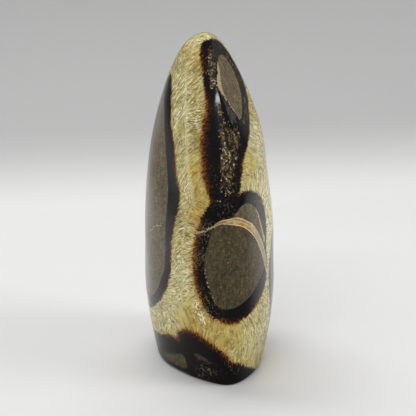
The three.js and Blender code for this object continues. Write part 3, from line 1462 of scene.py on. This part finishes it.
class Aragonite(Effect):
    """Near-black aragonite with a brown, translucent outer fringe."""

    NAME = "Aragonite"
    INPUTS = {"Edge": 0.0}
    OUTPUTS = {"Colour": "Color", "Height": "Float"}
    BLACK = srgb(17, 14, 13)
    BROWN = srgb(60, 31, 14)
    RUST = srgb(122, 64, 17)
    TAN = srgb(186, 128, 46)
    FLECK = srgb(178, 158, 124)
    MESH = 1.5  # width of the cells between the fine pale cracks

    def wire(self, graph: Graph, given: Sequence[Socket]) -> Sequence[Socket]:
        """Warms the black towards the rim's outer edge, and lays flecks and crusts on it.

        Args:
            graph: The group's graph.
            given: The group's inputs, in the order of INPUTS.

        Returns:
            The colour and the height of the grain.
        """
        place, rust, fleck = graph.place(), graph.field(Field.RUST), graph.field(Field.FLECK)
        grain = FibreGrain().grain(graph, width=0.42, squeeze=0.35, seed=5.0)
        hair = FibreGrain().grain(graph, width=0.28, squeeze=0.6, swirl=3.0, seed=6.0)
        fringe = graph.between(rust, 0.8, 3.4)
        depth = graph.math("DIVIDE", graph.times(given[0], -1.0), fringe)
        depth = graph.add_up(depth, graph.sway(grain, 3.0))
        over = graph.math("SUBTRACT", hair, graph.between(fleck, 0.9, 0.61))
        crack = graph.step(graph.cell_sides(graph.ragged(place, 1.0, 1.2), self.MESH), 0.07, 0.02)
        broken = graph.times(graph.step(graph.noise(place, 1.4), 0.48, 0.58), fleck)
        layers = (
            (graph.step(depth, 1.15, 0.5), graph.between(rust, 0.4, 1.0), self.BROWN),
            (graph.step(depth, 0.52, 0.1), graph.between(rust, 0.3, 1.0), self.RUST),
            (graph.step(depth, 0.1, -0.16), graph.between(rust, 0.05, 0.7), self.TAN),
            (graph.step(over, -0.08, -0.02), 0.5, self.BROWN),
            (graph.step(over, 0.0, 0.05), 0.85, self.FLECK),
            (graph.times(crack, broken), 0.6, self.FLECK),
        )
        crust, cover = Crust().place_in(graph)
        colour = graph.mix(cover, graph.laid(self.BLACK, layers), crust)
        return colour, graph.add_up(grain, cover)


class Mudstone(Effect):
    """Compact olive-brown mudstone with fine speckle, upright streaks and faint red mottling."""

    NAME = "Mudstone"
    OUTPUTS = {"Colour": "Color", "Height": "Float"}
    BODY = srgb(94, 83, 58)
    DARK = srgb(62, 54, 38)
    PALE = srgb(138, 124, 90)
    RED = srgb(112, 70, 44)
    SHELL = srgb(168, 150, 100)
    SHELL_GAP = 2.6  # between two fragments of shell
    STREAK_LEAN = (0.3, -0.1)  # how far X and Y shift with each millimetre up
    STREAK_DRAW = 0.1  # how far the height is drawn together, which makes the streaks long

    def wire(self, graph: Graph, given: Sequence[Socket]) -> Sequence[Socket]:
        """Lays mottling, streaks, speckle and fragments of shell on the body.

        Args:
            graph: The group's graph.
            given: Not used; the group has no inputs.

        Returns:
            The colour and the height of the grain.
        """
        place = graph.place()
        speck, mottle = Speckle().place_in(graph, grain_size=0.5, mottle_size=6.0)
        spot, blush = Speckle().place_in(graph, grain_size=1.3, mottle_size=2.4)
        streak = graph.noise(self.upright(graph, place), 1.0, 2.0, 0.55)
        shell = graph.step(graph.cell_middles(place, self.SHELL_GAP), 0.17, 0.1)
        kept = graph.step(graph.chances(place, self.SHELL_GAP)[0], 0.7, 0.74)
        layers = (
            (graph.step(mottle, 0.45, 0.62), 0.5, self.DARK),
            (graph.step(streak, 0.5, 0.66), 0.36, self.PALE),
            (graph.step(streak, 0.48, 0.34), 0.36, self.DARK),
            (graph.step(spot, 0.52, 0.66), 0.4, self.PALE),
            (graph.step(spot, 0.48, 0.34), 0.5, self.DARK),
            (graph.step(speck, 0.5, 0.64), 0.5, self.PALE),
            (graph.step(speck, 0.5, 0.36), 0.55, self.DARK),
            (graph.step(blush, 0.55, 0.68), 0.45, self.RED),
            (graph.times(shell, kept), 0.7, self.SHELL),
        )
        colour = graph.laid(self.BODY, layers)
        return graph.vector("SCALE", colour, scale=graph.field(Field.TONE)), speck

    def upright(self, graph: Graph, place: Socket) -> Socket:
        """Draws the place together along the streaks, which stand upright and lean a little.

        Args:
            graph: The group's graph.
            place: The place on the stone, in millimetres.

        Returns:
            Where the noise of the streaks is read.
        """
        x, y, z = graph.axes(place)
        drawn = graph.add("ShaderNodeCombineXYZ")
        aside, back = self.STREAK_LEAN
        graph.feed(drawn.inputs["X"], graph.add_up(graph.math("ABSOLUTE", x), graph.times(z, aside)))
        graph.feed(drawn.inputs["Y"], graph.add_up(y, graph.times(z, back)))
        graph.feed(drawn.inputs["Z"], graph.times(z, self.STREAK_DRAW))
        return drawn.outputs["Vector"]


class VeinFill(Effect):
    """Banded vein calcite: pale sides, a cream body and an orange middle."""

    NAME = "Vein fill"
    OUTPUTS = {"Colour": "Color"}
    CREAM = srgb(204, 184, 132)
    DULL = srgb(170, 156, 122)
    PALE = srgb(236, 224, 186)
    AMBER = srgb(178, 112, 44)

    def wire(self, graph: Graph, given: Sequence[Socket]) -> Sequence[Socket]:
        """Runs the bands along the vein and breaks them up a little.

        Args:
            graph: The group's graph.
            given: Not used; the group has no inputs.

        Returns:
            The colour.
        """
        place, amber = graph.place(), graph.field(Field.AMBER)
        uneven = graph.noise(place, 0.7, 2.0, 0.6)
        broken = graph.noise(graph.shifted(place, 2.0), 1.6, 2.0, 0.5)
        band = graph.add_up(graph.field(Field.BAND), graph.sway(uneven, 0.7))
        ring = graph.times(graph.step(band, 0.16, 0.3), graph.step(band, 0.8, 0.66))
        layers = (
            (amber, 1.0, self.CREAM),
            (graph.step(band, 0.74, 0.86), 0.85, self.PALE),
            (graph.times(ring, graph.step(broken, 0.4, 0.5), amber), 0.85, self.AMBER),
        )
        return [graph.laid(self.DULL, layers)]


class Minerals(Effect):
    """All the minerals, each where the mesh says that it lies."""

    NAME = "Minerals"
    OUTPUTS = {"Colour": "Color", "Roughness": "Float", "Height": "Float"}
    SELVAGE = srgb(206, 190, 152)
    # painted reflection: the grey that the hollow shows of the surroundings mirrored in it
    HOLLOW_REFLECTION = srgb(86, 86, 84)
    HALO = srgb(168, 116, 48)
    CALCITE_ROUGHNESS = 0.26
    RIM_ROUGHNESS = 0.15
    CORE_ROUGHNESS = 0.26
    CRUST_ROUGHNESS = 0.36
    CORE_RELIEF = 0.35  # how deep a core's grain is beside the calcite's

    def wire(self, graph: Graph, given: Sequence[Socket]) -> Sequence[Socket]:
        """Finds the jagged borders between the minerals and joins the minerals along them.

        Args:
            graph: The group's graph.
            given: Not used; the group has no inputs.

        Returns:
            The colour, the roughness and the height of the grain.
        """
        place = graph.place()
        coarse = FibreGrain().grain(graph, width=0.42, squeeze=0.14, seed=7.0)
        fine = FibreGrain().grain(graph, width=0.24, squeeze=0.2, seed=9.0)
        uneven = graph.noise(place, 3.5, 2.0, 0.5)
        jag = graph.add_up(graph.sway(coarse, 3.0), graph.sway(fine, 2.6), graph.sway(uneven, 0.9))
        rim_edge = graph.add_up(graph.field(Field.RIM), jag)
        core_edge = graph.add_up(graph.field(Field.CORE), graph.sway(uneven, 0.35))
        in_rim = graph.step(rim_edge, 0.16, -0.16)
        soft = graph.field(Field.SOFT)
        in_core = graph.step(core_edge, soft, graph.times(soft, -1.0))
        in_vein = graph.step(graph.add_up(graph.field(Field.VEIN), graph.sway(fine, 0.5)), 0.12, -0.12)
        broken = graph.noise(graph.shifted(place, 3.0), 0.8, 2.0, 0.6)
        line = graph.step(graph.add_up(graph.field(Field.LINE), graph.sway(broken, 2.0)), 0.1, -0.1)

        calcite, calcite_height = Calcite().place_in(graph)
        aragonite, aragonite_height = Aragonite().place_in(graph, edge=rim_edge)
        mudstone, mudstone_height = Mudstone().place_in(graph)
        halo = graph.between(graph.field(Field.RUST), 0.05, 0.6)
        colour = graph.mix(graph.times(graph.step(rim_edge, 1.5, 0.0), halo), calcite, self.HALO)
        colour = graph.mix(in_rim, colour, aragonite)
        # painted reflection: upright grey streaks in the hollow, standing for the surroundings mirrored
        # there
        upright = graph.vector("MULTIPLY", place, (1.0, 1.0, 0.15))
        reflection_streak = graph.step(graph.noise(graph.shifted(upright, 5.0), 1.2, 2.0, 0.5), 0.36, 0.64)
        painted_reflection = graph.times(graph.field(Field.HOLLOW), graph.between(reflection_streak, 0.15, 0.9))
        colour = graph.mix(painted_reflection, colour, self.HOLLOW_REFLECTION)
        colour = graph.mix(in_core, colour, mudstone)
        pale = graph.mix(graph.times(graph.step(fine, 0.5, 0.4), 0.5), self.SELVAGE, self.HALO)
        colour = graph.mix(graph.times(line, 0.85), colour, pale)
        colour = graph.mix(in_vein, colour, VeinFill().place_in(graph)[0])

        roughness = graph.between(in_rim, self.CALCITE_ROUGHNESS, self.RIM_ROUGHNESS)
        roughness = graph.between(in_core, roughness, self.CORE_ROUGHNESS)
        roughness = graph.between(graph.field(Field.CRUST), roughness, self.CRUST_ROUGHNESS)
        height = graph.between(in_rim, calcite_height, aragonite_height)
        height = graph.between(in_core, height, graph.times(mudstone_height, self.CORE_RELIEF))
        return colour, roughness, height


# ---------------------------------------------------------------------------
# Finishes
# ---------------------------------------------------------------------------


def shader_in(material: bpy.types.Material) -> tuple[Graph, bpy.types.Node]:
    """A graph for a material that uses nodes, and the shader that it starts with."""
    return Graph(material.node_tree), material.node_tree.nodes["Principled BSDF"]


@dataclass(frozen=True)
class StoneFinish:
    """The minerals of the stone under one surface, such as a polish or a saw cut."""

    name: str
    roughness_gain: float
    coat: float
    relief: float  # height of the finest bumps
    specular: float = 0.5
    coat_roughness: float = 0.05

    def material(self) -> bpy.types.Material:
        """Makes the finish's material.

        Returns:
            The material.
        """
        material = bpy.data.materials.new(self.name)
        material.use_nodes = True
        graph, shader = shader_in(material)
        colour, roughness, height = Minerals().place_in(graph)
        bump = graph.add("ShaderNodeBump")
        bump.inputs["Strength"].default_value = 1.0
        bump.inputs["Distance"].default_value = self.relief * MM
        graph.feed(bump.inputs["Height"], height)
        graph.feed(shader.inputs["Base Color"], colour)
        graph.feed(shader.inputs["Roughness"], graph.times(roughness, self.roughness_gain))
        graph.feed(shader.inputs["Normal"], bump.outputs["Normal"])
        shader.inputs["Specular IOR Level"].default_value = self.specular
        shader.inputs["Coat Weight"].default_value = self.coat
        shader.inputs["Coat Roughness"].default_value = self.coat_roughness
        return material


POLISHED = StoneFinish("Polished septarian stone", 1.0, coat=0.2, relief=0.03)
SAWN = StoneFinish("Sawn septarian stone", 2.4, coat=0.0, relief=0.05, specular=0.35)


@dataclass(frozen=True)
class SweepPaper:
    """The paper of the studio sweep, seen from its front only.

    Its wall is painted darker than its floor, as painted shade. Its near part and the top of its
    wall are painted dim where the stone mirrors them: painted dark reflections, as black flags
    beside a camera give.
    """

    name: str = "Sweep paper"
    floor: Colour = srgb(237, 237, 236)
    # painted shade: the same paper, coloured darker on the wall where less light falls
    shaded_wall: Colour = srgb(189, 189, 189)
    wall_start: float = 244.0
    wall_end: float = 360.0
    near_in_gloss: float = 0.12
    near_from: float = 60.0  # Y where the floor begins to go dim towards the front
    near_to: float = -60.0
    top_in_gloss: float = 0.3
    top_from: float = 40.0  # height where the wall begins to go dim
    top_to: float = 150.0
    roughness: float = 0.9
    specular: float = 0.1

    def material(self) -> bpy.types.Material:
        """Makes the paper's material.

        Returns:
            The material.
        """
        material = bpy.data.materials.new(self.name)
        material.use_nodes = True
        graph, shader = shader_in(material)
        _, y, z = graph.axes(graph.place())
        # painted shade: the mix from the floor's colour to the wall's darker one
        rise = graph.step(graph.add_up(y, z), self.wall_start, self.wall_end)
        near = graph.times(graph.step(y, self.near_from, self.near_to), 1 - self.near_in_gloss)
        top = graph.times(graph.step(z, self.top_from, self.top_to), 1 - self.top_in_gloss)
        light_path = graph.add("ShaderNodeLightPath")
        shaded = graph.times(light_path.outputs["Is Glossy Ray"], graph.math("MAXIMUM", near, top))
        colour = graph.mix(shaded, graph.mix(rise, self.floor, self.shaded_wall), PURE_BLACK)
        graph.feed(shader.inputs["Base Color"], colour)
        shader.inputs["Roughness"].default_value = self.roughness
        shader.inputs["Specular IOR Level"].default_value = self.specular
        clear = graph.add("ShaderNodeBsdfTransparent")
        seen = graph.add("ShaderNodeMixShader")
        graph.feed(seen.inputs[0], graph.add("ShaderNodeNewGeometry").outputs["Backfacing"])
        graph.feed(seen.inputs[1], shader.outputs["BSDF"])
        graph.feed(seen.inputs[2], clear.outputs["BSDF"])
        output = material.node_tree.nodes["Material Output"]
        graph.feed(output.inputs["Surface"], seen.outputs["Shader"])
        return material


# ---------------------------------------------------------------------------
# The stone
# ---------------------------------------------------------------------------


@dataclass
class Nodule:
    """The stone: its skin, its fine relief and its minerals."""

    low: Vector
    high: Vector
    spacing: float = 0.7  # between two points of the skin
    steps_round: int = 306
    foot_rings: int = 9
    crust_cuts: int = 3  # finer steps where the crusts' pits are
    pits: int = 700
    pit_radius: tuple[float, float] = (0.24, 0.55)
    pit_depth: float = 0.26
    pit_start: float = 0.3  # how strong a crust has to be before it is pitted
    pit_full: float = 0.7  # how strong it is where its pits are at their deepest
    core_wear: float = 0.1  # how far polishing has worn the softer cores down
    core_slope: Point2 = (-0.3, 0.7)  # how far inside a core's edge the wear starts and is full
    hollow_depth: float = 0.5
    relief_from: Point2 = (0.5, 3.0)  # heights where the relief starts and is full
    sawn_height: float = 0.05  # faces lower than this are sawn
    weld: float = 0.002  # points closer than this are joined
    seed: int = 11

    def __post_init__(self) -> None:
        """Works out the form and its rings from the box."""
        self.form = StoneForm((self.high.z - self.low.z) / MM)
        self.heights, self.run = self.form.run()
        self.rings = round(self.run[-1] / self.spacing)

    def sheet(self) -> bmesh.types.BMesh:
        """Makes the flat sheet that is wrapped round the stone.

        Returns:
            The sheet. Its x is the turn round the stone, and its y runs from -1 at the middle of
            the foot, over 0 at the foot's edge, to 1 at the tip.
        """
        rows = np.concatenate(
            [np.linspace(-1, 0, self.foot_rings, endpoint=False), np.linspace(0, 1, self.rings)]
        )
        turns = np.linspace(0, 2 * math.pi, self.steps_round + 1)
        sheet = bmesh.new()
        grid = [[sheet.verts.new((turn, row, 0)) for turn in turns] for row in rows]
        for lower, upper in zip(grid, grid[1:]):
            for corners in zip(lower, lower[1:], upper[1:], upper):
                sheet.faces.new(corners)
        return sheet

    def skin(self, sheet: bmesh.types.BMesh) -> Array:
        """Wraps the sheet round the stone and fits it to the stone's box.

        Args:
            sheet: The flat sheet.

        Returns:
            The place on the stone of each of the sheet's points.
        """
        turn, row, _ = np.array([vert.co for vert in sheet.verts]).T
        height = np.interp(np.clip(row, 0, 1) * self.run[-1], self.run, self.heights)
        points = self.form.skin(turn, height)
        under = row < 0
        points[under, :2] *= (1 + row[under])[:, None]
        low, high = points.min(0), points.max(0)
        box_low, box_high = np.array(self.low) / MM, np.array(self.high) / MM
        return box_low + (points - low) * (box_high - box_low) / (high - low)

    def canvas(self, sheet: bmesh.types.BMesh) -> Canvas:
        """Makes a canvas of the sheet's points.

        Args:
            sheet: The flat sheet.

        Returns:
            Their places on the stone, with what is needed to draw on them.
        """
        points = self.skin(sheet)
        sheet.verts.index_update()
        faces = [[vert.index for vert in face.verts] for face in sheet.faces]
        mesh = bpy.data.meshes.new("drawing")
        mesh.from_pydata(points, [], faces)
        normals = np.empty(len(points) * 3, np.float32)
        mesh.vertices.foreach_get("normal", normals)
        bpy.data.meshes.remove(mesh)
        tree = BVHTree.FromPolygons([tuple(point) for point in points], faces)
        return Canvas(points, normals.reshape(-1, 3).astype(float), tree)

    def refine_crusts(self, sheet: bmesh.types.BMesh) -> None:
        """Cuts the sheet finer where a crust lies.

        Args:
            sheet: The flat sheet.
        """
        crust = MineralMap(self.canvas(sheet)).crust()
        pitted = [vert for vert in sheet.verts if crust[vert.index] > self.pit_start]
        edges = list({edge for vert in pitted for face in vert.link_faces for edge in face.edges})
        bmesh.ops.subdivide_edges(sheet, edges=edges, cuts=self.crust_cuts, use_grid_fill=True)

    def pit_shares(self, canvas: Canvas, crust: Array) -> Array:
        """How deep each point lies in the crusts' pits, from 0 to 1.

        Args:
            canvas: The places on the stone.
            crust: How strongly each lies in a crust.

        Returns:
            The shares.
        """
        chance = random.Random(self.seed)
        near = np.flatnonzero(crust > self.pit_start)
        share = np.zeros(len(crust))
        for _ in range(self.pits):
            middle = canvas.points[chance.choice(near)]
            radius = chance.uniform(*self.pit_radius)
            depth = chance.uniform(0.4, 1)
            gap = np.linalg.norm(canvas.points[near] - middle, axis=1) / radius
            share[near] = np.maximum(share[near], depth * np.clip(1 - gap**2, 0, 1))
        return share * ease(crust, self.pit_start, self.pit_full)

    def build(self) -> bpy.types.Object:
        """Builds the stone's mesh with its relief and its mineral fields.

        Returns:
            The stone, without its materials.
        """
        sheet = self.sheet()
        self.refine_crusts(sheet)
        canvas = self.canvas(sheet)
        fields = MineralMap(canvas).fields()
        cut = self.core_wear * ease(-fields[Field.CORE], *self.core_slope)
        cut += self.pit_depth * self.pit_shares(canvas, fields[Field.CRUST])
        cut += self.hollow_depth * fields[Field.HOLLOW] * (fields[Field.CORE] > 0)
        cut *= ease(canvas.points[:, 2], *self.relief_from)
        points = (canvas.points - canvas.normals * cut[:, None]) * MM
        for vert, point in zip(sheet.verts, points):
            vert.co = point
        for face in sheet.faces:
            face.material_index = int(max(vert.co.z for vert in face.verts) < self.sawn_height * MM)
            face.smooth = True
        mesh = bpy.data.meshes.new("polished nodule")
        self.store(sheet, fields)
        bmesh.ops.remove_doubles(sheet, verts=sheet.verts, dist=self.weld * MM)
        bmesh.ops.dissolve_degenerate(sheet, dist=self.weld * MM, edges=sheet.edges)
        bmesh.ops.triangulate(sheet, faces=sheet.faces)
        sheet.to_mesh(mesh)
        sheet.free()
        stone = bpy.data.objects.new("polished_nodule", mesh)
        bpy.context.scene.collection.objects.link(stone)
        return stone

    def store(self, sheet: bmesh.types.BMesh, fields: dict[Field, Array]) -> None:
        """Writes the mineral fields to the sheet's points.

        Args:
            sheet: The sheet.
            fields: One value of each field for each point.
        """
        for name, values in fields.items():
            if name is Field.ROOT:
                layer = sheet.verts.layers.float_vector.new(name.value)
            else:
                layer = sheet.verts.layers.float.new(name.value)
            for vert, value in zip(sheet.verts, values.tolist()):
                vert[layer] = value

    def dress(self, stone: bpy.types.Object) -> None:
        """Gives the skin its polish and the foot its sawn face."""
        stone.data.materials.append(POLISHED.material())
        stone.data.materials.append(SAWN.material())


# ---------------------------------------------------------------------------
# The studio
# ---------------------------------------------------------------------------


@dataclass(frozen=True)
class Softbox:
    """A soft light that points at a place on the stone."""

    name: str
    place: tuple[float, float, float]
    size: Point2
    watts: float
    aim_at: tuple[float, float, float] = (0.0, 0.0, 60.0)
    mirrored: bool = False  # whether the polished stone mirrors it

    def build(self) -> bpy.types.Object:
        """Hangs the light.

        Returns:
            The light.
        """
        light = bpy.data.lights.new(self.name, "AREA")
        light.shape = "RECTANGLE"
        light.size = self.size[0] * MM
        light.size_y = self.size[1] * MM
        light.energy = self.watts
        lamp = bpy.data.objects.new(self.name, light)
        lamp.visible_glossy = self.mirrored
        lamp.location = Vector(self.place) * MM
        view = Vector(self.aim_at) - Vector(self.place)
        lamp.rotation_euler = view.to_track_quat("-Z", "Y").to_euler()
        bpy.context.scene.collection.objects.link(lamp)
        return lamp


@dataclass
class Studio:
    """A pale sweep, soft lights and the camera."""

    floor_front: float = -2200.0
    floor_back: float = 235.0
    curve_radius: float = 130.0
    wall_top: float = 1500.0
    half_width: float = 2000.0
    curve_steps: int = 24
    azimuth: float = -11.5
    elevation: float = 15.0
    distance: float = 550.0
    target: tuple[float, float, float] = (-0.31, 0.0, 63.2)
    lens: float = 114.9
    sensor: float = 36.0
    clip_from: float = 10.0
    clip_to: float = 20000.0
    world_light: float = 0.18
    world_seen: float = 0.86
    world_mirrored: float = 0.12
    softboxes: tuple[Softbox, ...] = (
        Softbox("overhead light", (-40, 390, 760), (700, 400), 7.1, aim_at=(0, 220, 0)),
        Softbox("front light", (-360, -620, 755), (460, 110), 2.2, mirrored=True),
        Softbox("left light", (-900, -300, 380), (700, 500), 1.5, aim_at=(0, -60, 40)),
        Softbox("right light", (700, -300, 440), (400, 300), 2.5),
    )

    def sweep(self) -> bpy.types.Object:
        """Builds the floor that curves up into a wall.

        Returns:
            The sweep.
        """
        turns = np.linspace(0, math.pi / 2, self.curve_steps)
        profile = [(self.floor_front, 0.0)]
        for turn in turns:
            y = self.floor_back + self.curve_radius * math.sin(turn)
            profile.append((y, self.curve_radius * (1 - math.cos(turn))))
        profile.append((self.floor_back + self.curve_radius, self.wall_top))
        points = [
            Vector((side * self.half_width, y, z)) * MM for y, z in profile for side in (-1, 1)
        ]
        faces = [(2 * i, 2 * i + 1, 2 * i + 3, 2 * i + 2) for i in range(len(profile) - 1)]
        mesh = bpy.data.meshes.new("sweep")
        mesh.from_pydata(points, [], faces)
        mesh.shade_smooth()
        mesh.materials.append(SweepPaper().material())
        sweep = bpy.data.objects.new("sweep", mesh)
        bpy.context.scene.collection.objects.link(sweep)
        return sweep

    def world(self) -> None:
        """Lights the surroundings evenly, shows them paler than that, and mirrors them dimmer."""
        world = bpy.data.worlds.new("studio")
        bpy.context.scene.world = world
        world.use_nodes = True
        graph = Graph(world.node_tree)
        background = world.node_tree.nodes["Background"]
        ray = graph.add("ShaderNodeLightPath").outputs
        background.inputs["Color"].default_value = PURE_WHITE
        strength = graph.between(ray["Is Glossy Ray"], self.world_light, self.world_mirrored)
        strength = graph.between(ray["Is Camera Ray"], strength, self.world_seen)
        graph.feed(background.inputs["Strength"], strength)

    def camera(self) -> None:
        """Places the camera."""
        camera = bpy.data.cameras.new("camera")
        camera.lens = self.lens
        camera.sensor_width = self.sensor
        camera.clip_start = self.clip_from * MM
        camera.clip_end = self.clip_to * MM
        holder = bpy.data.objects.new("camera", camera)
        back = Vector(aim(self.azimuth, self.elevation))
        holder.location = (Vector(self.target) + back * self.distance) * MM
        holder.rotation_euler = back.to_track_quat("Z", "Y").to_euler()
        bpy.context.scene.collection.objects.link(holder)
        bpy.context.scene.camera = holder

    def build(self) -> None:
        """Sets up the whole studio."""
        self.camera()
        self.sweep()
        self.world()
        for softbox in self.softboxes:
            softbox.build()
        bpy.context.scene.view_settings.view_transform = "Standard"


def main() -> None:
    """Builds the studio and the stone."""
    logging.basicConfig(level=logging.INFO, format="%(name)s: %(message)s")
    studio = Studio()
    studio.build()
    log.info("studio: sweep and %d soft lights", len(studio.softboxes))

    nodule = Nodule(*(Vector(corner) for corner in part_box(NODE)))
    stone = nodule.build()
    nodule.dress(stone)
    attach(stone, BODY)
    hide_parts(NODE)
    log.info("%s: %d triangles", stone.name, len(stone.data.polygons))


if __name__ == "__main__":
    main()
